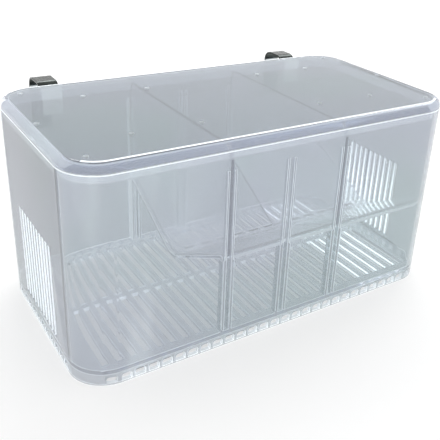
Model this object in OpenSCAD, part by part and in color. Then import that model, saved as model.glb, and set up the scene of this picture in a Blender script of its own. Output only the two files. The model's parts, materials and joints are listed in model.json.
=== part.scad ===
// Hang-on fish breeding box: a clear moulded tank with a slotted floor and slotted
// end walls, a V-shaped trap insert, two lift-out dividers, a lid and two steel hangers.
// Millimetres, +Z up, origin at the middle of the face the box stands on.
// The front wall is at -Y and the hangers hook over the back wall at +Y.

/* [Box] */
// Length of the tank, left to right
tank_l = 200; // [190:1:230]
// Width of the tank, front to back
tank_w = 104; // [96:1:120]
// Height of the tank walls without the lid
tank_h = 97.4; // [92:0.1:120]
// Radius of the tank's upright corners, outside
corner_r = 17; // [14:0.5:20]
// Thickness of the tank's walls
wall = 2; // [1.6:0.1:2.4]

/* [Slotted floor] */
// Height of the open space under the floor
floor_z = 5; // [4:0.5:8]
// Thickness of the floor
floor_t = 2; // [1.5:0.1:2.5]
// Number of slots along the tank in each of the two rows
slot_count = 28; // [20:1:28]
// Distance from one slot or window to the next along the tank
slot_pitch = 6.44; // [6:0.02:6.6]
// Width of a floor slot
slot_w = 3.4; // [2:0.1:4]
// Distance from the tank's outside to the outer end of a floor slot
slot_margin = 7; // [5.5:0.5:10]
// Width of the plain bar along the middle of the floor
middle_bar_w = 4; // [3:0.5:8]

/* [Skirt windows] */
// Width of a window in the skirt below the floor
window_w = 4.6; // [3:0.1:5]
// Height of a window
window_h = 3.4; // [2.5:0.1:3.6]
// Height of the lower edge of the windows above the ground
window_z = 0.9; // [0.6:0.1:1.2]
// Radius of the upper corners of a window
window_r = 1.2; // [0.5:0.1:1.4]
// Number of windows in each end of the skirt
end_window_count = 11; // [7:1:11]

/* [End wall slots] */
// Number of upright slots in each end wall
end_slot_count = 11; // [7:1:13]
// Distance from one end slot to the next
end_slot_pitch = 4.05; // [3.8:0.05:4.6]
// Width of an end slot
end_slot_w = 2.2; // [1.4:0.1:2.6]
// Height of the end slots' lower ends above the ground
end_slot_z = 9.5; // [9:0.5:14]
// Length of an end slot
end_slot_len = 46; // [30:1:54]

/* [Guide ribs] */
// Distance from the middle rib pair to the pairs left and right of it
rib_pitch = 30.8; // [26:0.2:34]
// Thickness of each rib above the ledge
rib_t = 1; // [0.8:0.1:1.3]
// How far the ribs stand out from the wall above the ledge
rib_reach = 1.6; // [1.2:0.1:2]
// Height of the ribs' upper ends
rib_top_z = 88; // [80:1:90]
// Thickness of each rib below the ledge
ledge_t = 1.6; // [1.5:0.1:2]
// How far the ribs stand out from the wall below the ledge
ledge_reach = 3.4; // [3:0.1:4]

/* [V trap] */
// Height of the top of the trap's flanges above the ground
trap_top_z = 46.5; // [42:0.5:50]
// Height of the upper side of the trap's bottom above the ground
trap_bottom_z = 23.5; // [20:0.5:26]
// Thickness of the trap's plates
trap_t = 1.6; // [1.3:0.1:2]
// Width of the flange along the top of each plate
flange_w = 3.2; // [3:0.1:4]
// Width of the flat strip along the bottom of the trap
trap_bottom_w = 6; // [5:0.5:8]
// Width of the slits that the fry drop through
slit_w = 3; // [2:0.2:3.6]
// Length of a slit
slit_len = 7; // [4:0.5:7.5]
// Distance from one slit to the next
slit_pitch = 9.6; // [9:0.1:12]
// How far the trap runs to the left past the left divider's middle
trap_overhang = 2.5; // [2:0.1:3]

/* [Dividers] */
// Thickness of a divider
divider_t = 2; // [1.6:0.1:2.4]
// Gap between a divider's top edge and the lid
divider_lid_gap = 2.95; // [0.3:0.05:8]

/* [Lid] */
// Height of the lid from the tank's rim to its top
lid_h = 4.2; // [4:0.1:5.5]
// Thickness of the lid's top
lid_t = 2.2; // [1.8:0.1:2.4]
// Radius of the lid's rounded top edge
lid_edge_r = 3.6; // [1.2:0.1:3.9]
// Thickness of the lip that drops inside the tank
lip_t = 1.5; // [1:0.1:2]
// Depth of the lip below the tank's rim
lip_depth = 4; // [2:0.5:5]
// Diameter of a vent hole
vent_d = 2.4; // [1.5:0.1:3]
// Distance of the vents from the lid's long centre line
vent_y = 27; // [20:1:32]
// Distance from one vent column to the next along the lid
vent_pitch_x = 32.4; // [28:0.2:34]
// Distance of the end vents from the lid's short edge
end_vent_inset = 5.2; // [5.1:0.1:10]
// Distance of the corner vents from both edges of the lid
corner_vent_inset = 10.5; // [9:0.5:14]

/* [Hangers] */
// Distance from the tank's end to the middle of a hanger
hanger_inset = 27.8; // [24:0.2:40]
// Width of the steel strip
hanger_w = 9.8; // [8:0.2:14]
// Thickness of the steel strip
hanger_t = 1; // [0.8:0.1:1.2]
// Length of the leg inside the tank below the rim
inner_leg_len = 12; // [8:0.5:16]
// Room inside the hook for the aquarium's rim
hook_gap = 16; // [10:0.5:20]
// Height of the hook's top above the strip where it crosses the wall
hook_rise = 3; // [2:0.5:8]
// Radius inside the hook's two bends
bend_r = 4.5; // [3:0.5:5]
// Length of the leg outside below the tank's rim
outer_leg_len = 24; // [15:1:50]
// Depth of the outward kick at the foot of the outer leg
foot_len = 3; // [2:0.5:6]

/* [Fits] */
// Gap between two pieces that lie on each other
seat_gap = 0.25; // [0.2:0.05:0.3]
// Gap between a sliding piece and its guide
slide_gap = 0.25; // [0.2:0.05:0.3]
// Gap between a hanger and the lid's notch around it
notch_gap = 0.5; // [0.3:0.1:0.8]

/* [Hidden] */
$fn = 64;
cut = 1;
floor_top = floor_z + floor_t;
inner_l = tank_l - 2 * wall;
inner_w = tank_w - 2 * wall;
inner_half = inner_w / 2;
slot_len = tank_w / 2 - slot_margin - middle_bar_w / 2;
rib_gap = divider_t + 2 * slide_gap;
rib_xs = [-rib_pitch, 0, rib_pitch];
ledge_z = trap_top_z - trap_t - seat_gap;
flange_half = inner_half - slide_gap;
flange_inner = flange_half - flange_w;
bottom_half = trap_bottom_w / 2;
plate_run = flange_inner - bottom_half;
plate_rise = trap_top_z - trap_bottom_z;
plate_drop = trap_t * sqrt(1 + pow(plate_rise / plate_run, 2));
trap_x0 = -rib_pitch - trap_overhang;
trap_x1 = inner_l / 2 - slide_gap;
slit_count = floor((trap_x1 - trap_x0 - slit_len) / slit_pitch);
lid_z = tank_h + seat_gap;
lid_top_z = lid_z + lid_h;
lid_under_z = lid_top_z - lid_t;
lip_offset = wall + slide_gap;
lip_inner_offset = lip_offset + lip_t;
lip_z = tank_h - lip_depth;
divider_half = inner_half - slide_gap;
divider_head_half = tank_w / 2 - lip_inner_offset - slide_gap;
divider_shoulder_z = lip_z - slide_gap;
divider_tip_half = bottom_half - slide_gap;
divider_top_z = lid_under_z - divider_lid_gap;
hanger_x = tank_l / 2 - hanger_inset;
hanger_inner_y = inner_half - slide_gap - hanger_t;
hanger_bar_z = tank_h + seat_gap;
hook_foot_y = tank_w / 2 + 2 * seat_gap + hanger_t;
hook_mid_y = hook_foot_y + hook_gap / 2;
hook_run = hook_gap / 2 - bend_r;
hook_z = hanger_bar_z + hanger_t;
bend_z = hook_z + hook_rise - hanger_t - bend_r;
outer_foot_z = tank_h - outer_leg_len;
notch_w = hanger_w + 2 * notch_gap;
notch_z = hook_z + notch_gap;

// Outline of the tank or of anything a set distance inside it
module outline(inset = 0) {
    l = tank_l - 2 * inset;
    w = tank_w - 2 * inset;
    r = corner_r - inset;
    square([l, w - 2 * r], center = true);
    square([l - 2 * r, w], center = true);
    for (sx = [-1, 1])
        for (sy = [-1, 1])
            translate([sx * (l / 2 - r), sy * (w / 2 - r)])
                circle(r);
}

// Upright block of the tank's outline between two heights
module block(inset, z0, z1) {
    translate([0, 0, z0])
        linear_extrude(z1 - z0)
            outline(inset);
}

// Shape drawn in the Y-Z plane and run along X from x0 to x1
module along_x(x0, x1) {
    translate([x0, 0, 0])
        rotate([90, 0, 90])
            linear_extrude(x1 - x0)
                children();
}

// Place of copy i in a centred row
function row(i, count, pitch) = (i - (count - 1) / 2) * pitch;

// Window with rounded upper corners, drawn flat with its foot on the X axis
module window_shape() {
    translate([-window_w / 2, 0])
        square([window_w, window_h - window_r]);
    translate([-window_w / 2 + window_r, 0])
        square([window_w - 2 * window_r, window_h]);
    for (s = [-1, 1])
        translate([s * (window_w / 2 - window_r), window_h - window_r])
            circle(window_r);
}

// Two rows of slots through the floor
module floor_slots() {
    for (i = [0 : slot_count - 1])
        for (s = [-1, 1])
            translate([row(i, slot_count, slot_pitch) - slot_w / 2,
                       s > 0 ? middle_bar_w / 2 : -middle_bar_w / 2 - slot_len,
                       floor_z - cut])
                cube([slot_w, slot_len, floor_t + 2 * cut]);
}

// Windows through the front and back of the skirt, and through its ends
module skirt_windows() {
    for (i = [0 : slot_count - 1])
        translate([row(i, slot_count, slot_pitch), tank_w / 2 + cut, window_z])
            rotate([90, 0, 0])
                linear_extrude(tank_w + 2 * cut)
                    window_shape();
    for (i = [0 : end_window_count - 1])
        translate([-tank_l / 2 - cut, row(i, end_window_count, slot_pitch), window_z])
            rotate([90, 0, 90])
                linear_extrude(tank_l + 2 * cut)
                    window_shape();
}

// Upright slots through both end walls
module end_slots() {
    for (i = [0 : end_slot_count - 1])
        translate([-tank_l / 2 - cut,
                   row(i, end_slot_count, end_slot_pitch) - end_slot_w / 2,
                   end_slot_z])
            cube([tank_l + 2 * cut, end_slot_w, end_slot_len]);
}

// One rib on a long wall: it reaches in from the wall by reach, from z0 to z1
module rib(x, side, t, reach, z0, z1) {
    translate([x - t / 2, side > 0 ? inner_half - reach : -inner_half - wall / 2, z0])
        cube([t, reach + wall / 2, z1 - z0]);
}

// Pair of ribs that guide a divider, with a ledge that carries the trap
module rib_pair(x, side) {
    for (s = [-1, 1]) {
        rib(x + s * (rib_gap + rib_t) / 2, side, rib_t, rib_reach, floor_top - cut, rib_top_z);
        rib(x + s * (rib_gap + ledge_t) / 2, side, ledge_t, ledge_reach,
            floor_top - cut, ledge_z);
    }
}

// Tank: walls on a slotted floor, with windows in the skirt under it
module tank() {
    color([0.78, 0.84, 0.88]) {
        difference() {
            block(0, 0, tank_h);
            block(wall, floor_top, tank_h + cut);
            block(wall, -cut, floor_z);
            floor_slots();
            skirt_windows();
            end_slots();
        }
        for (x = rib_xs)
            for (side = [-1, 1])
                rib_pair(x, side);
    }
}

// Section of the plate's edge: upright below, a quarter round above
module edge_section(h, r) {
    square([r, h - r]);
    translate([0, h - r])
        intersection() {
            circle(r);
            square(r);
        }
}

// Plate with a rounded top edge, its lower face at z = 0
module soft_plate(h, r) {
    straight_x = tank_l / 2 - corner_r;
    straight_y = tank_w / 2 - corner_r;
    linear_extrude(h)
        outline(r);
    for (turn = [0, 180])
        rotate([0, 0, turn]) {
            translate([straight_x, tank_w / 2 - r, 0])
                rotate([90, 0, -90])
                    mirror([1, 0, 0])
                        linear_extrude(2 * straight_x)
                            edge_section(h, r);
            translate([tank_l / 2 - r, straight_y, 0])
                rotate([90, 0, 0])
                    linear_extrude(2 * straight_y)
                        edge_section(h, r);
            translate([straight_x, straight_y, 0])
                rotate_extrude(angle = 90)
                    translate([corner_r - r, 0])
                        edge_section(h, r);
            translate([-straight_x, straight_y, 0])
                rotate([0, 0, 90])
                    rotate_extrude(angle = 90)
                        translate([corner_r - r, 0])
                            edge_section(h, r);
        }
}

// Vent holes: two rows of four, one at each end and one in each corner
module vents() {
    end_x = tank_l / 2 - end_vent_inset;
    corner_x = tank_l / 2 - corner_vent_inset;
    corner_y = tank_w / 2 - corner_vent_inset;
    places = concat(
        [for (i = [-2, -1, 1, 2]) for (s = [-1, 1]) [i * vent_pitch_x, s * vent_y]],
        [for (s = [-1, 1]) [s * end_x, 0]],
        [for (sx = [-1, 1]) for (sy = [-1, 1]) [sx * corner_x, sy * corner_y]]);
    for (p = places)
        translate([p[0], p[1], lid_under_z - cut])
            cylinder(h = lid_t + 2 * cut, d = vent_d);
}

// Lid: flat top with a soft edge, a rim on the walls and a lip inside them
module lid() {
    color([0.80, 0.86, 0.90])
        difference() {
            union() {
                translate([0, 0, lid_z])
                    soft_plate(lid_h, lid_edge_r);
                difference() {
                    block(lip_offset, lip_z, lid_z + cut);
                    block(lip_inner_offset, lip_z - cut, lid_z + 2 * cut);
                }
            }
            block(lip_inner_offset, lip_z - cut, lid_under_z);
            vents();
            for (s = [-1, 1])
                translate([s * hanger_x - notch_w / 2, divider_head_half, lip_z - cut])
                    cube([notch_w, tank_w / 2, notch_z - lip_z + cut]);
        }
}

// Cross-section of the trap in the Y-Z plane
module trap_section() {
    right = [[bottom_half, trap_bottom_z],
             [flange_inner, trap_top_z],
             [flange_half, trap_top_z],
             [flange_half, trap_top_z - trap_t],
             [flange_inner, trap_top_z - plate_drop],
             [bottom_half, trap_bottom_z - plate_drop]];
    left = [for (i = [5 : -1 : 0]) [-right[i][0], right[i][1]]];
    polygon(concat(right, left));
}

// V trap: two sloping plates joined by a slitted bottom, flanged to lie on the ledges
module v_trap() {
    notch = rib_gap + 2 * (rib_t + slide_gap);
    color([0.74, 0.81, 0.86])
        difference() {
            intersection() {
                along_x(trap_x0, trap_x1)
                    trap_section();
                block(wall + slide_gap, 0, tank_h);
            }
            for (i = [0 : slit_count - 1])
                translate([(trap_x0 + trap_x1) / 2 + row(i, slit_count, slit_pitch) - slit_len / 2,
                           -slit_w / 2,
                           trap_bottom_z - plate_drop - cut])
                    cube([slit_len, slit_w, plate_drop + 2 * cut]);
            for (x = rib_xs)
                for (side = [-1, 1])
                    translate([x - notch / 2,
                               side > 0 ? inner_half - rib_reach - slide_gap : -inner_half - cut,
                               ledge_z - cut])
                        cube([notch, rib_reach + slide_gap + cut, 3 * cut + trap_t]);
        }
}

// Outline of a divider in the Y-Z plane: its foot follows the V of the trap
module divider_section() {
    rest = trap_bottom_z + seat_gap;
    shelf = trap_top_z + seat_gap;
    right = [[divider_tip_half, rest],
             [flange_inner - slide_gap, shelf],
             [divider_half, shelf],
             [divider_half, divider_shoulder_z],
             [divider_head_half, divider_shoulder_z],
             [divider_head_half, divider_top_z]];
    left = [for (i = [5 : -1 : 0]) [-right[i][0], right[i][1]]];
    polygon(concat(right, left));
}

// Divider standing in the rib pair at x
module divider(x) {
    along_x(x - divider_t / 2, x + divider_t / 2)
        divider_section();
}

module left_divider() {
    color([0.70, 0.78, 0.84])
        divider(-rib_pitch);
}

module right_divider() {
    color([0.70, 0.78, 0.84])
        divider(rib_pitch);
}

// Upright shape about the hook's middle with top corners of radius r, down to z0
module arch(r, z0) {
    for (s = [-1, 1])
        translate([hook_mid_y + s * hook_run, bend_z])
            circle(r);
    translate([hook_mid_y - hook_run, bend_z])
        square([2 * hook_run, r]);
    translate([hook_mid_y - hook_run - r, z0])
        square([2 * (hook_run + r), bend_z - z0]);
}

// Side view of a hanger strip in the Y-Z plane
module hanger_section() {
    translate([hanger_inner_y, tank_h - inner_leg_len])
        square([hanger_t, inner_leg_len + seat_gap + hanger_t]);
    translate([hanger_inner_y, hanger_bar_z])
        square([hook_foot_y - hanger_inner_y, hanger_t]);
    difference() {
        arch(bend_r + hanger_t, outer_foot_z);
        arch(bend_r, outer_foot_z - cut);
        translate([hook_foot_y - hanger_t - cut, outer_foot_z - cut])
            square([hanger_t + 2 * cut, hanger_bar_z - outer_foot_z + cut]);
    }
}

// Foot of the outer leg, kicked out so that it slides over the aquarium's rim
module foot_section() {
    translate([hook_mid_y + hook_gap / 2, outer_foot_z - foot_len])
        polygon([[0, foot_len + cut], [hanger_t, foot_len + cut], [hanger_t, foot_len],
                 [foot_len, 0], [foot_len - hanger_t, 0], [0, foot_len]]);
}

// Steel strip hooked over the back wall at x
module hanger(x) {
    along_x(x - hanger_w / 2, x + hanger_w / 2)
        hanger_section();
    along_x(x - hanger_w / 2, x + hanger_w / 2)
        foot_section();
}

module left_hanger() {
    color([0.45, 0.46, 0.48])
        hanger(-hanger_x);
}

module right_hanger() {
    color([0.45, 0.46, 0.48])
        hanger(hanger_x);
}

tank();
lid();
v_trap();
left_divider();
right_divider();
left_hanger();
right_hanger();
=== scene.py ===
"""Looks of a clear hang-on fish breeding box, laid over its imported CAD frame."""

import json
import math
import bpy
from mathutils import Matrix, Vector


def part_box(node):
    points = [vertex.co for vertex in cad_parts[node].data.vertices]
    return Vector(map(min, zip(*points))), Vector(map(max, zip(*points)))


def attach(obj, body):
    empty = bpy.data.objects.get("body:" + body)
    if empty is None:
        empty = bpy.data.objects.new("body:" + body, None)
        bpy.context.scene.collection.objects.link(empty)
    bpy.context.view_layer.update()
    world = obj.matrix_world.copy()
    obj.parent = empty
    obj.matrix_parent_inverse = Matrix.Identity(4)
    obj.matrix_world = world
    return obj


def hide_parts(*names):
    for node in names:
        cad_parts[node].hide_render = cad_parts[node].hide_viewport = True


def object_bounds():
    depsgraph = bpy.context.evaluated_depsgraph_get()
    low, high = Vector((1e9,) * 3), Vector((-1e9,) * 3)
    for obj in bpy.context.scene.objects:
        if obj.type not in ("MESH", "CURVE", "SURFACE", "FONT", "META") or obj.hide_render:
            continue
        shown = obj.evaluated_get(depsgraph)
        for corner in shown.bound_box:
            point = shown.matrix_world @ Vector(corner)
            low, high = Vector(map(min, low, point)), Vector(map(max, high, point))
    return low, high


bl_info = {
    "name": "Fish Breeding Box",
    "version": (1, 0, 0),
    "blender": (4, 5, 0),
    "location": "View3D > Sidebar > Breeding Box",
    "description": "Dresses the frame of a clear fish breeding box and sets up its studio",
    "category": "Object",
}

import bmesh
import bpy
from bpy.props import FloatProperty, FloatVectorProperty, IntProperty, PointerProperty
from mathutils import Matrix, Vector

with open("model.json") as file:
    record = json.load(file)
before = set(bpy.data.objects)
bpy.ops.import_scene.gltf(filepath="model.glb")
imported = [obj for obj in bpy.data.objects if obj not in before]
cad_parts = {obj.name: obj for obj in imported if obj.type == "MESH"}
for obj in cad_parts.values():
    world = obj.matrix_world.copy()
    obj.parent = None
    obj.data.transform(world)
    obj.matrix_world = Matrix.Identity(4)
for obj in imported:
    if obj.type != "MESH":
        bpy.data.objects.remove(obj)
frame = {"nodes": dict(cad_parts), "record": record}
CAD_BOX = [list(corner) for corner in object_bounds()]
TANK_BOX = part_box("tank")
TANK_TOP = TANK_BOX[1][2]
LID_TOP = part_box("lid")[1][2]
BODY_OF_NODE = {
    node: body
    for body, nodes in frame["record"]["behaviour"]["bodies"].items()
    for node in nodes
}

# Places on the solids, in metres. X, Y and Z are counted from the part's origin.
HAIR = 0.0001  # how far off a level a point may be and still be on it
MARGIN = 0.001  # how far round the rim and the end slots their edges are looked for
CORNER_RADIUS = 0.017  # of the tank's four corners, seen from above
STRAIGHT = (0.0825, 0.0345)  # ends of the straight walls, along X and along Y
WALL_SKIN = 0.0022  # a wall's thickness and a little more
FLOOR_SEAM = 0.0021  # how far in the line lies where the floor meets the walls
FLOOR = (0.005, 0.007)  # underside and top of the slotted floor
SLOT_ENDS = 0.01  # the inner ends of the floor slots are nearer the middle than this, along Y
# The sides of the floor slots between these two get the same painted light as the right end slots.
LIT_FLOOR = (0.053, 0.084)  # first and last of the floor slots that catch the light, along X
END_WALL = 0.09  # the end walls are beyond it, along X
END_SLOTS = (0.0095, 0.0556)  # foot and top of the end slots
WINDOWS = (0.0005, 0.0048)  # foot and top of the skirt windows
BACK_RIB = (-0.03, 0.044)  # the first rib at the back is left of this X and behind this Y
LONG_EDGE = 0.045  # the long edges of the trap and dividers are beyond it, along Y
LID_PLATE = 0.0024  # depth of the lid's plate and rim, from its top
LID_RIM = 0.0038  # width of the lid's rim
LEG_BEHIND = (0.06, 0.0945)  # a hanger's outer leg is behind this Y and below this Z
# The hangers' dark part is a painted reflection of dark surroundings, and the bend inside the box
# a painted highlight.
HOOK_DEPTH = 0.0200  # from the back of the hangers to where their dark part begins
HOOK_STEP = 0.001  # half the soft step there
HOOK_FOOT = 0.003  # how far the dark part runs down the leg behind the box
BEND_HIGHLIGHT = (0.005, 0.004)  # where the bright bend inside the box begins, below the rim

# Shares of a face's normal along an axis
FACING = 0.9  # the face looks along the axis
ASLANT = 0.7  # the face looks roughly along it, as the kicked-out legs of the hangers do
LEVEL = 0.99  # the face is flat and lies square to the axis
SQUARE = 0.999  # the same, with no bend beside it taken in
ASIDE = 0.1  # the face runs along the axis
FIRST_BEND = (0.975, 0.9995)  # the face is the upper one on a rounded edge of the lid

# Material slots of each piece, in the order in which it gets its materials
TANK_PLASTIC, TANK_EDGE, TANK_SLOT, TANK_WINDOW, TANK_FLOOR, TANK_SHADED_END = range(6)
LID_PLASTIC, LID_EDGE, RIM_PLASTIC, LIP_PLASTIC, LID_VENT = range(5)
INSERT_PLASTIC, INSERT_EDGE, INSERT_DEPTH = range(3)
HANGER_STEEL, HANGER_INSIDE = range(2)

# Merging of the solids' triangles, and shares of the edge radius on the edges of each place
MERGE = 2e-6
SAME_PLANE = math.radians(0.6)
SHARP = math.radians(35)
FLOOR_ROUNDING = 0.3
WALL_ROUNDING = 0.5
BACK_ROUNDING = 0.9
LIP_ROUNDING = 0.35
INSERT_ROUNDING = 0.7
HANGER_EDGE_STEPS = 2

# Patterns: cells a metre, detail, and the noise at which the patches begin and are whole
# The first pattern draws the streaks of the painted reflection on the front wall.
REFLECTION_STREAKS = (70.0, 2.0, 0.40, 0.68)
CLOUDS = (13.0, 1.0, 0.38, 0.62)
HANDLED = (38.0, 3.0, 0.35, 0.75)
WORN = (160.0, 2.0, 0.3, 0.7)
SMEARS = (90.0, 3.0, 0.4, 0.7)
ROLLING_LINES = (900.0, 2.0)
EVEN = (1.0, 1.0, 1.0)
UPRIGHT = (1.0, 1.0, 0.16)
ALONG_STRIP = (1.0, 0.04, 0.04)
GRAIN_SCALE = 14  # times the flow waves' scale
GRAIN_HEIGHT = 0.03  # of the flow waves' height
GRAIN_DETAIL = 2.0
WAVE_DETAIL = 1.0

# Colours, and shares of colour, roughness and light
BLACK = (0.0, 0.0, 0.0)
WHITE = (1.0, 1.0, 1.0)
VIOLET_CAST = (1.0, 0.985, 1.005)
GREEN_CAST = (0.975, 1.005, 0.985)
WORN_SHADE = 0.94
SMEAR_SHARE = 0.25
HANDLED_ROUGHNESS = 0.04
EDGE_ROUGHNESS = 0.12
WORN_ROUGHNESS = 0.1
LINE_ROUGHNESS = 0.12
# STREAK_BASE is the share of the painted reflection that lies between its streaks.
STREAK_BASE = 0.2
SLOT_BASE = 0.08
SLOT_FADE = 0.6
# Painted light: the lid's lip and the rim's back glow more than the floor and the inserts.
LIP_GLOW = 3  # times the glow of the floor and the inserts
SEEN_THROUGH = 0.8
COLOUR_RESULT = 2  # output of a Mix node that gives a colour

# Strip lamps: name, azimuth and elevation in degrees, width, depth, and how bright they look
STRIP_DISTANCE = 1.5
STRIPS = (
    ("strip_high", 45.0, 43.0, 1.7, 0.42, 5.0),
    ("strip_low", 25.0, 4.5, 1.3, 0.18, 3.0),
)


class Value:
    """A node socket that Python's operators work on; each operator adds a Math node."""

    def __init__(self, finish, socket):
        self.finish = finish
        self.socket = socket

    def maths(self, operation, *numbers):
        """Math node on two numbers or values, in their order."""
        settings = {"operation": operation}
        return self.finish.node("ShaderNodeMath", settings, dict(enumerate(numbers)))

    def __add__(self, other):
        return self.maths("ADD", self, other)

    __radd__ = __add__

    def __sub__(self, other):
        return self.maths("SUBTRACT", self, other)

    def __rsub__(self, other):
        return self.maths("SUBTRACT", other, self)

    def __mul__(self, other):
        return self.maths("MULTIPLY", self, other)

    __rmul__ = __mul__

    def clamped(self):
        """The value, kept between 0 and 1."""
        return self.maths("MINIMUM", self.maths("MAXIMUM", self, 0.0), 1.0)

    def lifted(self, base):
        """Raises 0 to base and keeps 1."""
        return self * (1.0 - base) + base

    def smooth(self, low, high):
        """0 below low and 1 above high, with a soft step between them."""
        return self.finish.node(
            "ShaderNodeMapRange",
            {"interpolation_type": "SMOOTHSTEP"},
            {"Value": self, "From Min": low, "From Max": high},
        )


class Finish:
    """A node tree that is filled by expressions: of a new material, or of the world."""

    def __init__(self, name, world=None):
        self.block = world or bpy.data.materials.new(name)
        self.block.use_nodes = True
        self.tree = self.block.node_tree
        self.tree.nodes.clear()
        kind = "ShaderNodeOutputWorld" if world else "ShaderNodeOutputMaterial"
        self.output = self.tree.nodes.new(kind)

    def node(self, kind, settings=None, inputs=None, output=0):
        """Adds a node, sets its settings, then its sockets, and gives one of its outputs."""
        node = self.tree.nodes.new(kind)
        for name, value in (settings or {}).items():
            setattr(node, name, value)
        for key, value in (inputs or {}).items():
            socket = node.inputs[key]
            if isinstance(value, Value):
                self.tree.links.new(value.socket, socket)
            else:
                socket.default_value = value
        return Value(self, node.outputs[output])

    def mix(self, factor, first, second):
        """Colour between first and second."""
        return self.node(
            "ShaderNodeMix",
            {"data_type": "RGBA"},
            {"Factor": factor, "A": first, "B": second},
            COLOUR_RESULT,
        )

    def place(self):
        """Object coordinates, which are the part's own because each piece is at the origin."""
        return self.node("ShaderNodeTexCoord", output="Object")

    def coordinates(self, *axes):
        """The place along each of the axes: 0 for X, 1 for Y and 2 for Z."""
        place = self.place()
        return [
            self.node("ShaderNodeSeparateXYZ", inputs={0: place}, output=axis) for axis in axes
        ]

    def noise(self, scale, detail, stretch=EVEN):
        """Noise with scale in cells a metre. A stretch under 1 draws it out along an axis."""
        place = self.node("ShaderNodeMapping", inputs={"Vector": self.place(), "Scale": stretch})
        inputs = {"Vector": place, "Scale": scale, "Detail": detail}
        return self.node("ShaderNodeTexNoise", inputs=inputs)

    def patches(self, pattern, stretch=EVEN):
        """Noise that is cut into patches with soft borders: 1 inside them and 0 between them."""
        scale, detail, low, high = pattern
        return self.noise(scale, detail, stretch).smooth(low, high)

    def show(self, surface, volume=None):
        """Joins the finished shaders to the output, and gives the material or world."""
        self.tree.links.new(surface.socket, self.output.inputs["Surface"])
        if volume:
            self.tree.links.new(volume.socket, self.output.inputs["Volume"])
        return self.block


def rgba(colour):
    """Colour with an alpha of 1, as a node's socket takes it."""
    return (*colour, 1.0)


def dimmed(colour, share):
    """Colour at a share of its brightness."""
    return [c * share for c in colour]


def cast(colour, shares):
    """Colour with its red, green and blue each times its own share."""
    return [c * share for c, share in zip(colour, shares)]


def painted_reflection_streaks(f, look):
    """Painted reflection: soft upright streaks of light, as a window would leave, glowing on the
    left end of the front wall.
    """
    along, depth = f.coordinates(0, 1)
    left = 1.0 - along.smooth(*look.reflection_end)
    front = 1.0 - depth.smooth(*look.reflection_depth)
    streaks = f.patches(REFLECTION_STREAKS, UPRIGHT).lifted(STREAK_BASE)
    return f.mix(left * front * streaks, rgba(BLACK), rgba(look.reflection_colour))


def clear_plastic(name, look, tint, haze, glow=0.0, streaks=False):
    """Clear moulded plastic: it bends light, soaks a little of it up along the way, scatters a
    share of it at the surface and carries slow flow waves from the mould. The glow is painted
    light: an emission over the whole surface, or only at the painted reflection streaks."""
    f = Finish(name)
    waves = f.noise(look.wave_scale, WAVE_DETAIL)
    grain = f.noise(look.wave_scale * GRAIN_SCALE, GRAIN_DETAIL)
    bump = f.node(
        "ShaderNodeBump",
        inputs={
            "Strength": look.wave_strength,
            "Distance": look.wave_height,
            "Height": waves + grain * GRAIN_HEIGHT,
        },
    )
    violet, green = (rgba(cast(tint, shares)) for shares in (VIOLET_CAST, GREEN_CAST))
    plastic = f.node(
        "ShaderNodeBsdfPrincipled",
        inputs={
            "Base Color": f.mix(f.patches(CLOUDS), violet, green),
            "Roughness": f.patches(HANDLED) * HANDLED_ROUGHNESS + look.roughness,
            "IOR": look.ior,
            "Transmission Weight": 1.0 - haze,
            "Emission Color": painted_reflection_streaks(f, look) if streaks else rgba(look.edge_and_glow_colour),
            "Emission Strength": glow,
            "Normal": bump,
        },
    )
    soaked = f.node(
        "ShaderNodeVolumeAbsorption",
        inputs={"Color": rgba(look.depth_tint), "Density": look.depth_density},
    )
    return f.show(plastic, soaked)


def painted_highlight_edge(name, look, glow):
    """Edge of clear plastic with a painted highlight: its whitish colour glows by emission, so it
    looks whiter than the faces beside it, as glints on rounded edges would."""
    f = Finish(name)
    worn = f.patches(WORN)
    edge = f.node(
        "ShaderNodeBsdfPrincipled",
        inputs={
            "Base Color": f.mix(
                worn, rgba(look.edge_and_glow_colour), rgba(dimmed(look.edge_and_glow_colour, WORN_SHADE))
            ),
            "Roughness": worn * WORN_ROUGHNESS + EDGE_ROUGHNESS,
            "IOR": look.ior,
            "Transmission Weight": 1.0 - look.edge_haze,
            "Emission Color": rgba(look.edge_and_glow_colour),
            "Emission Strength": glow,
        },
    )
    return f.show(edge)


def lit_slot(name, look):
    """Side of a slot in the right end or in the floor beside it, with painted light: an emission
    stands in for the light behind the box that it catches. It is brightest at the wall's inside
    and on the floor's top, and fades towards the upper end of an end slot."""
    f = Finish(name)
    across, height = f.coordinates(0, 2)
    inside = 1.0 - across.smooth(*look.lit_depth)
    topside = height.smooth(*look.lit_floor)
    faded = 1.0 - height.smooth(*look.lit_height) * SLOT_FADE
    lit = (inside * topside * faded).lifted(SLOT_BASE)
    side = f.node(
        "ShaderNodeBsdfPrincipled",
        inputs={
            "Base Color": rgba(look.edge_and_glow_colour),
            "Roughness": 0.15,
            "IOR": look.ior,
            "Transmission Weight": 1.0 - look.haze,
            "Emission Color": f.mix(lit, rgba(BLACK), rgba(look.edge_and_glow_colour)),
            "Emission Strength": look.slot_glow,
        },
    )
    return f.show(side)


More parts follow.
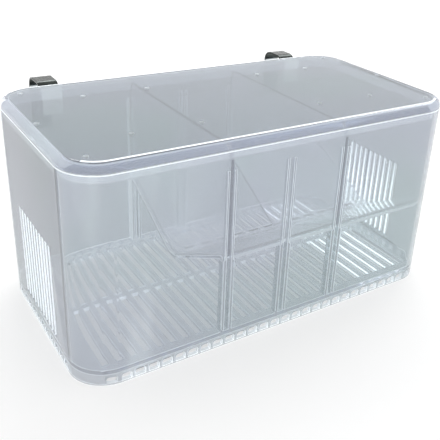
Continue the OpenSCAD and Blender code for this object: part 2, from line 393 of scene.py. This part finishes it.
def polished_steel(name, look, leg_reflection_colour, leg_light):
    """Polished steel strip with painted reflections: dark on the hook above the box, as mirrored
    dark surroundings, and light on its legs, as the mirrored lit room, with fine rolling lines
    along it and smears from handling. The leg behind the box has the colour and the painted light
    that are given, and the bend inside the box glows brightest, a painted highlight."""
    f = Finish(name)
    lines = f.noise(*ROLLING_LINES, ALONG_STRIP)
    smears = f.patches(SMEARS)
    depth, height = f.coordinates(1, 2)
    behind = depth.smooth(look.dark_from - HOOK_STEP, look.dark_from + HOOK_STEP)
    outside = behind * height.smooth(look.dark_above - HOOK_FOOT, look.dark_above)
    bend = height.smooth(*(look.dark_above - below for below in BEND_HIGHLIGHT)) * (1.0 - behind)
    legs = f.mix(behind, rgba(look.inside_reflection_colour), rgba(leg_reflection_colour))
    colour = f.mix(outside, legs, rgba(look.hook_dark_reflection_colour))
    inner_light = dimmed(look.inside_reflection_colour, look.inner_glow)
    light = f.mix(behind, rgba(inner_light), rgba(leg_light))
    bump = f.node(
        "ShaderNodeBump",
        inputs={"Strength": 0.15, "Distance": 0.0001, "Height": lines},
    )
    steel = f.node(
        "ShaderNodeBsdfPrincipled",
        inputs={
            "Base Color": f.mix(smears * SMEAR_SHARE, colour, rgba(look.smear_colour)),
            "Metallic": 1.0,
            "Emission Color": f.mix(bend, light, rgba(look.inside_reflection_colour)),
            "Emission Strength": 1.0,
            "Roughness": lines * LINE_ROUGHNESS + look.roughness,
            "Normal": bump,
        },
    )
    return f.show(steel)


def whole_rounding(middle):
    """The same rounding on every edge, wherever its middle is."""
    return 1.0


def moulded_copy(node, name, radius, steps, edge_slot, slot_of, weight_of=whole_rounding):
    """Copy of a CAD solid whose triangles are merged into flat faces and whose sharp edges
    get the small radius that a mould or a press leaves, times weight_of the edge's middle. The
    rounded edges take the material in edge_slot, and slot_of gives the other faces' slots from
    their centres and normals."""
    mesh = frame["nodes"][node].data.copy()
    mesh.name = name
    mesh.materials.clear()
    bm = bmesh.new()
    bm.from_mesh(mesh)
    bmesh.ops.remove_doubles(bm, verts=bm.verts, dist=MERGE)
    bmesh.ops.dissolve_limit(bm, angle_limit=SAME_PLANE, verts=bm.verts, edges=bm.edges)
    for face in bm.faces:
        face.smooth = True
        face.material_index = slot_of(face.calc_center_median(), face.normal)
    weight = bm.edges.layers.float.new("bevel_weight_edge")
    for edge in bm.edges:
        if edge.calc_face_angle(0.0) > SHARP:
            edge[weight] = weight_of((edge.verts[0].co + edge.verts[1].co) / 2)
            edge.smooth = edge[weight] > 0.0
    bm.to_mesh(mesh)
    bm.free()
    piece = bpy.data.objects.new(name, mesh)
    bpy.context.scene.collection.objects.link(piece)
    bevel = piece.modifiers.new("edges", "BEVEL")
    bevel.width = radius
    bevel.segments = steps
    bevel.limit_method = "WEIGHT"
    bevel.use_clamp_overlap = False
    bevel.material = edge_slot
    flats = piece.modifiers.new("flats", "WEIGHTED_NORMAL")
    flats.weight = 100
    flats.keep_sharp = True
    return piece


def inset_of(centre):
    """Distance of a point inside the box's outline, whose corners are quarter circles: to the
    nearest side, or near a corner to its circle."""
    low, high = TANK_BOX
    x = min(centre.x - low[0], high[0] - centre.x)
    y = min(centre.y - low[1], high[1] - centre.y)
    if max(x, y) < CORNER_RADIUS:
        return CORNER_RADIUS - math.hypot(CORNER_RADIUS - x, CORNER_RADIUS - y)
    return min(x, y)


def tank_slot(centre, normal):
    """Edge, with a painted highlight, for the sides of the left end slots, the inner ends of the
    floor slots and the side of the first rib at the back, slot, with painted light, for the
    sides of the right end slots and of the floor slots beside them, window, with a painted glow,
    for the sides of the skirt windows, floor, a lighter copy with a painted glow, for the rest
    of the floor, end, a darker copy that paints shade, for the outside of the left wall, and
    plastic for all other faces."""
    if inset_of(centre) > WALL_SKIN:
        if not FLOOR[0] - HAIR < centre.z < FLOOR[1] + HAIR:
            on_rib = centre.x < BACK_RIB[0] and centre.y > BACK_RIB[1]
            return TANK_EDGE if on_rib and normal.x < -FACING else TANK_PLASTIC
        if abs(normal.y) > FACING and abs(centre.y) < SLOT_ENDS:
            return TANK_EDGE
        lit = LIT_FLOOR[0] < centre.x < LIT_FLOOR[1]
        return TANK_SLOT if lit and normal.x < -FACING else TANK_FLOOR
    in_slots = END_SLOTS[0] < centre.z < END_SLOTS[1]
    if in_slots and abs(centre.x) > END_WALL and normal.y < -FACING:
        return TANK_EDGE if centre.x < 0 else TANK_SLOT
    # The outside of the left wall takes a darker copy of the plastic: painted shade.
    if normal.x < -SQUARE and centre.x < -END_WALL and centre.z > FLOOR[1]:
        return TANK_SHADED_END
    in_window = centre.z < WINDOWS[1] and abs(normal.y) < ASIDE
    return TANK_WINDOW if in_window else TANK_PLASTIC


def tank_weight(middle):
    """Wide rounding on the rim and round the floor, a fine one elsewhere, and none on the end
    slots and on the windows that lie in the round corners."""
    inset = inset_of(middle)
    in_wall = inset < WALL_SKIN
    past_end, past_side = (abs(c) > straight for c, straight in zip(middle, STRAIGHT))
    if in_wall and past_end and past_side and WINDOWS[0] < middle.z < WINDOWS[1]:
        return 0.0
    at_slots = FLOOR[1] < middle.z < END_SLOTS[1] + MARGIN
    if in_wall and past_end and not past_side and at_slots:
        return 0.0
    at_floor = inset < FLOOR_SEAM and abs(middle.z - FLOOR[1]) < HAIR
    if middle.z > TANK_TOP - MARGIN or at_floor:
        return 1.0
    if middle.z < FLOOR[1] + HAIR and not in_wall:
        return FLOOR_ROUNDING
    return BACK_ROUNDING if middle.y > STRAIGHT[1] else WALL_ROUNDING


def lid_slot(centre, normal):
    """Edge, with a painted highlight, for the first bend of the long rounded edges, lip, a clearer
    copy with painted glow, for the lip and the rim's back, rim for the rest of the rim, vent,
    with a painted glow, for the sides of the vents, and plastic for the plate."""
    upper = centre.z > LID_TOP - LID_PLATE
    if upper and inset_of(centre) > LID_RIM:
        return LID_VENT if abs(normal.z) < ASIDE else LID_PLASTIC
    steepest = FACING if normal.y > ASIDE else FIRST_BEND[0]
    if upper and steepest < normal.z < FIRST_BEND[1]:
        return LID_EDGE if abs(normal.y) > abs(normal.x) else RIM_PLASTIC
    if abs(normal.z) > LEVEL:
        return LID_PLASTIC
    is_lip = centre.z < TANK_TOP and inset_of(centre) > WALL_SKIN
    return LIP_PLASTIC if is_lip or centre.y > STRAIGHT[1] else RIM_PLASTIC


def lid_weight(middle):
    """No rounding on the vents, a fine one on the rim's foot and the lip, and a wider one
    elsewhere."""
    if middle.z > LID_TOP - LID_PLATE:
        return 1.0 if inset_of(middle) < LID_RIM else 0.0
    return LIP_ROUNDING


def on_long_edge(centre, normal):
    """Whether a face is one of the narrow ones at the front and the back of an insert."""
    return abs(centre.y) > LONG_EDGE and abs(normal.y) > FACING


def trap_slot(centre, normal):
    """Edge for the long edges of the trap's flanges, and plastic for all other faces."""
    return INSERT_EDGE if on_long_edge(centre, normal) else INSERT_PLASTIC


def divider_slot(centre, normal):
    """Depth for a divider's upright edges, and plastic for all other faces."""
    return INSERT_DEPTH if on_long_edge(centre, normal) else INSERT_PLASTIC


def hanger_slot(centre, normal):
    """Inside for the side of the hanger's outer leg that faces the box, and steel elsewhere."""
    on_leg = centre.y > LEG_BEHIND[0] and centre.z < LEG_BEHIND[1]
    return HANGER_INSIDE if on_leg and normal.y < -ASLANT else HANGER_STEEL


def seat(piece, node, slot, *materials):
    """Puts a finished piece in the place of its CAD node."""
    for material in materials:
        piece.data.materials.append(material)
    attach(piece, BODY_OF_NODE[node])
    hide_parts(node)


def camera_axes(azimuth, elevation, roll):
    """Right, up and back of a camera that looks along +Y at azimuth 0 and is rolled about its
    line of sight."""
    az, el, tilt = (math.radians(a) for a in (azimuth, elevation, roll))
    back = Vector((math.sin(az) * math.cos(el), -math.cos(az) * math.cos(el), math.sin(el)))
    level = Vector((math.cos(az), math.sin(az), 0.0))
    rise = back.cross(level)
    right = math.cos(tilt) * level + math.sin(tilt) * rise
    up = math.cos(tilt) * rise - math.sin(tilt) * level
    return right, up, back


def add_camera(view):
    """Camera at the view's place, with its turn, lens and shift."""
    data = bpy.data.cameras.new("camera")
    data.sensor_width = 36.0
    data.lens = view.lens
    data.shift_x, data.shift_y = view.shift
    data.clip_start, data.clip_end = 0.01, 20.0
    camera = bpy.data.objects.new("camera", data)
    axes = camera_axes(view.azimuth, view.elevation, view.roll)
    turn = Matrix(axes).transposed().to_4x4()
    camera.matrix_world = Matrix.Translation(view.place) @ turn
    bpy.context.scene.collection.objects.link(camera)
    bpy.context.scene.camera = camera


def add_strip(name, azimuth, elevation, width, depth, radiance):
    """Rectangular lamp that faces the top of the box, seen from there at an azimuth from +Y
    towards +X and an elevation. Its power comes from its area, so radiance is how bright it
    looks in a mirror."""
    az, el = math.radians(azimuth), math.radians(elevation)
    aim = Vector((0.0, 0.0, CAD_BOX[1][2]))
    ray = Vector((math.sin(az) * math.cos(el), math.cos(az) * math.cos(el), math.sin(el)))
    place = aim + STRIP_DISTANCE * ray
    data = bpy.data.lights.new(name, "AREA")
    data.shape = "RECTANGLE"
    data.size, data.size_y = width, depth
    data.energy = radiance * math.pi * width * depth
    lamp = bpy.data.objects.new(name, data)
    turn = (place - aim).normalized().to_track_quat("Z", "Y").to_matrix().to_4x4()
    lamp.matrix_world = Matrix.Translation(place) @ turn
    lamp.visible_camera = False
    lamp.visible_transmission = False
    bpy.context.scene.collection.objects.link(lamp)


def background_rays(f):
    """Two masks of the rays that show the background straight to the camera, by gloss or
    through clear plastic: 1 for them all, and the same with less for those through plastic."""
    camera, glossy, through = (
        f.node("ShaderNodeLightPath", output=kind)
        for kind in ("Is Camera Ray", "Is Glossy Ray", "Is Transmission Ray")
    )
    straight = camera + glossy
    return (straight + through).clamped(), (straight + through * SEEN_THROUGH).clamped()


def add_floor(look):
    """Square floor under the box, white to the rays that show it and plain to all others."""
    half = look.floor_size / 2
    z = CAD_BOX[0][2]
    mesh = bpy.data.meshes.new("floor")
    corners = [(-half, -half, z), (half, -half, z), (half, half, z), (-half, half, z)]
    mesh.from_pydata(corners, [], [(0, 1, 2, 3)])
    floor = bpy.data.objects.new("floor", mesh)
    bpy.context.scene.collection.objects.link(floor)
    f = Finish("floor_paper")
    seen, lifted = background_rays(f)
    paper = f.node(
        "ShaderNodeBsdfDiffuse",
        inputs={"Color": f.mix(seen, rgba(look.floor_colour), rgba(WHITE))},
    )
    glow = f.node("ShaderNodeEmission", inputs={"Color": rgba(WHITE), "Strength": 1.0})
    paper = f.node("ShaderNodeMixShader", inputs={0: lifted * look.floor_glow, 1: paper, 2: glow})
    mesh.materials.append(f.show(paper))


def light_world(look):
    """Even light from all round."""
    world = bpy.data.worlds.new("studio")
    bpy.context.scene.world = world
    f = Finish("studio", world)
    sky = {"Color": rgba(look.sky), "Strength": look.sky_strength}
    f.show(f.node("ShaderNodeBackground", inputs=sky))


class PlasticLook(bpy.types.PropertyGroup):
    """Finish of the clear mouldings."""

    tank_tint: FloatVectorProperty(
        name="Tank tint", description="Colour that the tank's surface lets through",
        default=(0.70, 0.742, 0.775), subtype="COLOR", min=0.0, max=1.0,
    )
    lid_tint: FloatVectorProperty(
        name="Lid tint", description="Colour that the lid's surface lets through",
        default=(0.455, 0.505, 0.54), subtype="COLOR", min=0.0, max=1.0,
    )
    rim_tint: FloatVectorProperty(
        name="Rim tint", description="Colour that the lid's rim and lip let through",
        default=(0.56, 0.61, 0.68), subtype="COLOR", min=0.0, max=1.0,
    )
    # Painted shade: a darker copy of the tank's plastic for the outside of the left wall.
    shaded_end_tint: FloatVectorProperty(
        name="End tint", description="Colour that the outside of the left wall lets through",
        default=(0.57, 0.62, 0.65), subtype="COLOR", min=0.0, max=1.0,
    )
    # Painted light: a lighter copy of the tank's plastic for its floor, which also glows.
    brightened_floor_tint: FloatVectorProperty(
        name="Floor tint", description="Colour that the tank's floor lets through",
        default=(0.84, 0.87, 0.90), subtype="COLOR", min=0.0, max=1.0,
    )
    insert_tint: FloatVectorProperty(
        name="Insert tint", description="Colour that the trap and dividers let through",
        default=(0.98, 0.985, 0.985), subtype="COLOR", min=0.0, max=1.0,
    )
    depth_tint: FloatVectorProperty(
        name="Depth tint", description="Colour left after a long way through the plastic",
        default=(0.45, 0.52, 0.68), subtype="COLOR", min=0.0, max=1.0,
    )
    depth_density: FloatProperty(
        name="Depth density", description="How fast the plastic soaks up light, per metre",
        default=16.0, min=0.0,
    )
    ior: FloatProperty(
        name="Refraction", description="Refractive index of the plastic",
        default=1.47, min=1.0, max=2.0,
    )
    haze: FloatProperty(
        name="Haze", description="Share of the surface that scatters light",
        default=0.20, min=0.0, max=1.0, subtype="FACTOR",
    )
    rim_haze: FloatProperty(
        name="Rim haze", description="Share of the lid's rim that scatters light",
        default=0.30, min=0.0, max=1.0, subtype="FACTOR",
    )
    insert_haze: FloatProperty(
        name="Insert haze", description="Share of the trap and dividers that scatters light",
        default=0.10, min=0.0, max=1.0, subtype="FACTOR",
    )
    # Whitish colour of the painted edge highlights, and of all painted glow in the plastic.
    edge_and_glow_colour: FloatVectorProperty(
        name="Edge colour", description="Colour of the rounded edges and cut faces",
        default=(0.90, 0.94, 0.97), subtype="COLOR", min=0.0, max=1.0,
    )
    edge_haze: FloatProperty(
        name="Edge haze", description="Share of the edges that scatters light",
        default=0.6, min=0.0, max=1.0, subtype="FACTOR",
    )
    # Painted highlight: how strongly the rounded edges glow.
    edge_highlight_glow: FloatProperty(
        name="Edge glow", description="Light that comes out of the edges from inside the walls",
        default=0.45, min=0.0, max=1.0, subtype="FACTOR",
    )
    # Painted light: glow of the sides of the right end slots and of the floor slots beside them.
    slot_glow: FloatProperty(
        name="Slot glow", description="Light that comes out of the sides of the right end slots",
        default=1.8, min=0.0, max=6.0,
    )
    lit_depth: FloatVectorProperty(
        name="Lit depth", description="Where the light in the right end slots ends, along X",
        default=(0.0988, 0.0994), size=2, unit="LENGTH",
    )
    lit_floor: FloatVectorProperty(
        name="Lit floor", description="Where the light in the floor slots begins, along Z",
        default=(0.0058, 0.0062), size=2, unit="LENGTH",
    )
    lit_height: FloatVectorProperty(
        name="Lit height", description="Where the light in the end slots fades, along Z",
        default=(0.030, 0.0556), size=2, unit="LENGTH",
    )
    # Painted light: glow of the windows' sides, the lid's vents and the dividers' rounded edges.
    window_glow: FloatProperty(
        name="Window glow", description="Light that comes out of the windows' sides",
        default=0.12, min=0.0, max=1.0, subtype="FACTOR",
    )
    # Painted reflection: soft streaks of light on the front wall's left end, with their glow,
    # colour and where they end.
    reflection_glow: FloatProperty(
        name="Streak glow", description="Light that the milky streaks let out",
        default=0.065, min=0.0, max=1.0, subtype="FACTOR",
    )
    reflection_colour: FloatVectorProperty(
        name="Streak colour", description="Colour of the milky streaks",
        default=(0.88, 0.95, 0.90), subtype="COLOR", min=0.0, max=1.0,
    )
    reflection_end: FloatVectorProperty(
        name="Streaks end", description="Where the milky streaks end, along X",
        default=(-0.085, -0.035), size=2, unit="LENGTH",
    )
    reflection_depth: FloatVectorProperty(
        name="Streaks depth", description="Where the milky streaks end, along Y",
        default=(-0.046, -0.034), size=2, unit="LENGTH",
    )
    # Painted light: glow that lifts the floor, the inserts and the lid's lip, which lie in the
    # box's shade.
    painted_face_glow: FloatProperty(
        name="Face glow", description="Light that the haze lets out of the floor and the inserts",
        default=0.06, min=0.0, max=1.0, subtype="FACTOR",
    )
    roughness: FloatProperty(
        name="Roughness", description="Roughness of the polished faces",
        default=0.02, min=0.0, max=1.0, subtype="FACTOR",
    )
    wave_scale: FloatProperty(
        name="Wave scale", description="Flow waves a metre", default=26.0, min=1.0,
    )
    wave_height: FloatProperty(
        name="Wave height", description="Height of the flow waves",
        default=0.0004, min=0.0, unit="LENGTH",
    )
    wave_strength: FloatProperty(
        name="Wave strength", description="Share of the waves that shows",
        default=0.25, min=0.0, max=1.0, subtype="FACTOR",
    )
    edge_radius: FloatProperty(
        name="Edge radius", description="Radius that the mould leaves on sharp edges",
        default=0.00036, min=0.0, unit="LENGTH",
    )
    edge_steps: IntProperty(
        name="Edge steps", description="Faces across a rounded edge", default=2, min=1, max=6,
    )


class SteelLook(bpy.types.PropertyGroup):
    """Finish of the hangers."""

    # Painted reflections: the strip's colours stand for what the polished steel mirrors, light
    # inside the tank and on the legs, dark on the hook.
    inside_reflection_colour: FloatVectorProperty(
        name="Inner colour", description="Colour of the leg inside the tank",
        default=(0.80, 0.84, 0.83), subtype="COLOR", min=0.0, max=1.0,
    )
    leg_reflection_colour: FloatVectorProperty(
        name="Leg colour", description="Colour of the leg behind the tank",
        default=(0.22, 0.235, 0.235), subtype="COLOR", min=0.0, max=1.0,
    )
    hook_dark_reflection_colour: FloatVectorProperty(
        name="Outer colour", description="Colour of the hook above the tank",
        default=(0.035, 0.040, 0.038), subtype="COLOR", min=0.0, max=1.0,
    )
    smear_colour: FloatVectorProperty(
        name="Smear colour", description="Colour where the strip was handled",
        default=(0.12, 0.14, 0.13), subtype="COLOR", min=0.0, max=1.0,
    )
    inner_glow: FloatProperty(
        name="Inner glow", description="Brightness added to the leg that mirrors the lit room",
        default=0.42, min=0.0, max=1.0, subtype="FACTOR",
    )
    # The dark part of the strip is a painted reflection.
    dark_from: FloatProperty(
        name="Dark from", description="Distance from the box's middle where the strip turns dark",
        default=CAD_BOX[1][1] - HOOK_DEPTH, unit="LENGTH",
    )
    dark_above: FloatProperty(
        name="Dark above", description="Height from which the strip behind the box is dark",
        default=TANK_TOP, unit="LENGTH",
    )
    roughness: FloatProperty(
        name="Roughness", description="Roughness of the strip",
        default=0.12, min=0.0, max=1.0, subtype="FACTOR",
    )
    edge_radius: FloatProperty(
        name="Edge radius", description="Radius on the strip's edges",
        default=0.0002, min=0.0, unit="LENGTH",
    )


class StudioLook(bpy.types.PropertyGroup):
    """Floor, light and camera."""

    floor_colour: FloatVectorProperty(
        name="Floor colour", description="Colour of the floor",
        default=(0.92, 0.92, 0.92), subtype="COLOR", min=0.0, max=1.0,
    )
    floor_glow: FloatProperty(
        name="Floor glow", description="Share of the floor's white that no shadow reaches",
        default=0.5, min=0.0, max=1.0, subtype="FACTOR",
    )
    floor_size: FloatProperty(
        name="Floor size", description="Side of the floor", default=8.0, min=1.0, unit="LENGTH",
    )
    sky: FloatVectorProperty(
        name="Sky colour", description="Colour of the light from all round",
        default=(1.0, 1.0, 1.0), subtype="COLOR", min=0.0, max=1.0,
    )
    sky_strength: FloatProperty(
        name="Sky strength", description="Strength of the light from all round",
        default=1.0, min=0.0,
    )
    bounces: IntProperty(
        name="Bounces", description="How many surfaces light may pass", default=28, min=8,
    )
    place: FloatVectorProperty(
        name="Camera place", description="Where the camera stands",
        default=(-0.168433, -0.262785, 0.199429), subtype="TRANSLATION",
    )
    azimuth: FloatProperty(
        name="Camera azimuth", description="Turn round the object in degrees", default=-35.079,
    )
    elevation: FloatProperty(
        name="Camera elevation", description="Height of the view in degrees", default=25.216,
    )
    roll: FloatProperty(
        name="Camera roll", description="Turn about the line of sight in degrees", default=3.539,
    )
    lens: FloatProperty(
        name="Lens", description="Focal length in millimetres", default=54.753, min=1.0,
    )
    shift: FloatVectorProperty(
        name="Lens shift", description="Shift of the picture across the lens",
        default=(-0.07742, -0.07108), size=2,
    )


class BOX_OT_tank(bpy.types.Operator):
    """Dresses the tank with its slotted floor"""

    bl_idname = "breeding_box.tank"
    bl_label = "Tank"

    def execute(self, context):
        look = context.scene.box_plastic
        piece = moulded_copy(
            "tank", "tank_moulding", look.edge_radius, look.edge_steps,
            TANK_EDGE, tank_slot, tank_weight,
        )
        seat(
            piece, "tank", "clear_tank",
            clear_plastic("tank_plastic", look, look.tank_tint, look.haze, look.reflection_glow, True),
            painted_highlight_edge("tank_edge", look, look.edge_highlight_glow),
            lit_slot("tank_slot", look),
            painted_highlight_edge("tank_window", look, look.window_glow),
            clear_plastic("tank_floor", look, look.brightened_floor_tint, look.haze, look.painted_face_glow),
            clear_plastic("tank_end_painted_shade", look, look.shaded_end_tint, look.haze),
        )
        return {"FINISHED"}


class BOX_OT_lid(bpy.types.Operator):
    """Dresses the vented lid"""

    bl_idname = "breeding_box.lid"
    bl_label = "Lid"

    def execute(self, context):
        look = context.scene.box_plastic
        piece = moulded_copy(
            "lid", "lid_moulding", look.edge_radius, look.edge_steps,
            LID_EDGE, lid_slot, lid_weight,
        )
        # Painted light on the lid's lip and the rim's back.
        lip_glow = LIP_GLOW * look.painted_face_glow
        seat(
            piece, "lid", "clear_lid",
            clear_plastic("lid_plastic", look, look.lid_tint, look.haze),
            painted_highlight_edge("lid_edge", look, look.edge_highlight_glow),
            clear_plastic("rim_plastic", look, look.rim_tint, look.rim_haze),
            clear_plastic("lip_plastic", look, look.insert_tint, look.haze, lip_glow),
            painted_highlight_edge("lid_vent", look, look.window_glow),
        )
        return {"FINISHED"}


class BOX_OT_inserts(bpy.types.Operator):
    """Dresses the V trap and the two dividers"""

    bl_idname = "breeding_box.inserts"
    bl_label = "Trap and dividers"

    def execute(self, context):
        look = context.scene.box_plastic
        radius = look.edge_radius * INSERT_ROUNDING
        plastic = clear_plastic(
            "insert_plastic", look, look.insert_tint, look.insert_haze, look.painted_face_glow
        )
        trap_edge = painted_highlight_edge("trap_edge", look, look.edge_highlight_glow)
        divider_edge = painted_highlight_edge("divider_edge", look, look.window_glow)
        deep = clear_plastic("divider_depth", look, look.depth_tint, look.insert_haze)
        for node, slot_of, materials in (
            ("v_trap", trap_slot, (plastic, trap_edge)),
            ("left_divider", divider_slot, (plastic, divider_edge, deep)),
            ("right_divider", divider_slot, (plastic, divider_edge, deep)),
        ):
            piece = moulded_copy(
                node, node + "_moulding", radius, look.edge_steps, INSERT_EDGE, slot_of
            )
            seat(piece, node, "clear_insert", *materials)
        return {"FINISHED"}


class BOX_OT_hangers(bpy.types.Operator):
    """Dresses the two steel hangers"""

    bl_idname = "breeding_box.hangers"
    bl_label = "Hangers"

    def execute(self, context):
        look = context.scene.box_steel
        steel = polished_steel("hanger_steel", look, look.leg_reflection_colour, BLACK)
        # The side of the leg that faces the box gets the inside's painted reflection and glow.
        leg_light = dimmed(look.inside_reflection_colour, look.inner_glow)
        inside = polished_steel("hanger_inside", look, look.inside_reflection_colour, leg_light)
        for node in ("left_hanger", "right_hanger"):
            piece = moulded_copy(
                node, node + "_strip", look.edge_radius, HANGER_EDGE_STEPS,
                HANGER_STEEL, hanger_slot,
            )
            seat(piece, node, "dark_steel", steel, inside)
        return {"FINISHED"}


class BOX_OT_studio(bpy.types.Operator):
    """Adds the floor, the light and the camera"""

    bl_idname = "breeding_box.studio"
    bl_label = "Studio"

    def execute(self, context):
        look = context.scene.box_studio
        add_floor(look)
        light_world(look)
        for strip in STRIPS:
            add_strip(*strip)
        add_camera(look)
        context.scene.cycles.max_bounces = look.bounces
        context.scene.cycles.transmission_bounces = look.bounces
        context.scene.view_settings.view_transform = "Standard"
        return {"FINISHED"}


class BOX_PT_panel(bpy.types.Panel):
    """Lists the pieces of the box"""

    bl_label = "Breeding Box"
    bl_idname = "BOX_PT_panel"
    bl_space_type = "VIEW_3D"
    bl_region_type = "UI"
    bl_category = "Breeding Box"

    def draw(self, context):
        for operator in OPERATORS:
            self.layout.operator(operator.bl_idname)
        for scene_name, look in LOOKS.items():
            column = self.layout.column()
            for name in look.__annotations__:
                column.prop(getattr(context.scene, scene_name), name)


LOOKS = {"box_plastic": PlasticLook, "box_steel": SteelLook, "box_studio": StudioLook}
OPERATORS = (BOX_OT_tank, BOX_OT_lid, BOX_OT_inserts, BOX_OT_hangers, BOX_OT_studio)
CLASSES = (*LOOKS.values(), *OPERATORS, BOX_PT_panel)


def register():
    for cls in CLASSES:
        bpy.utils.register_class(cls)
    for name, look in LOOKS.items():
        setattr(bpy.types.Scene, name, PointerProperty(type=look))


def unregister():
    for name in LOOKS:
        delattr(bpy.types.Scene, name)
    for cls in reversed(CLASSES):
        bpy.utils.unregister_class(cls)


def main():
    register()
    bpy.ops.breeding_box.tank()
    bpy.ops.breeding_box.lid()
    bpy.ops.breeding_box.inserts()
    bpy.ops.breeding_box.hangers()
    bpy.ops.breeding_box.studio()


if __name__ == "__main__":
    main()
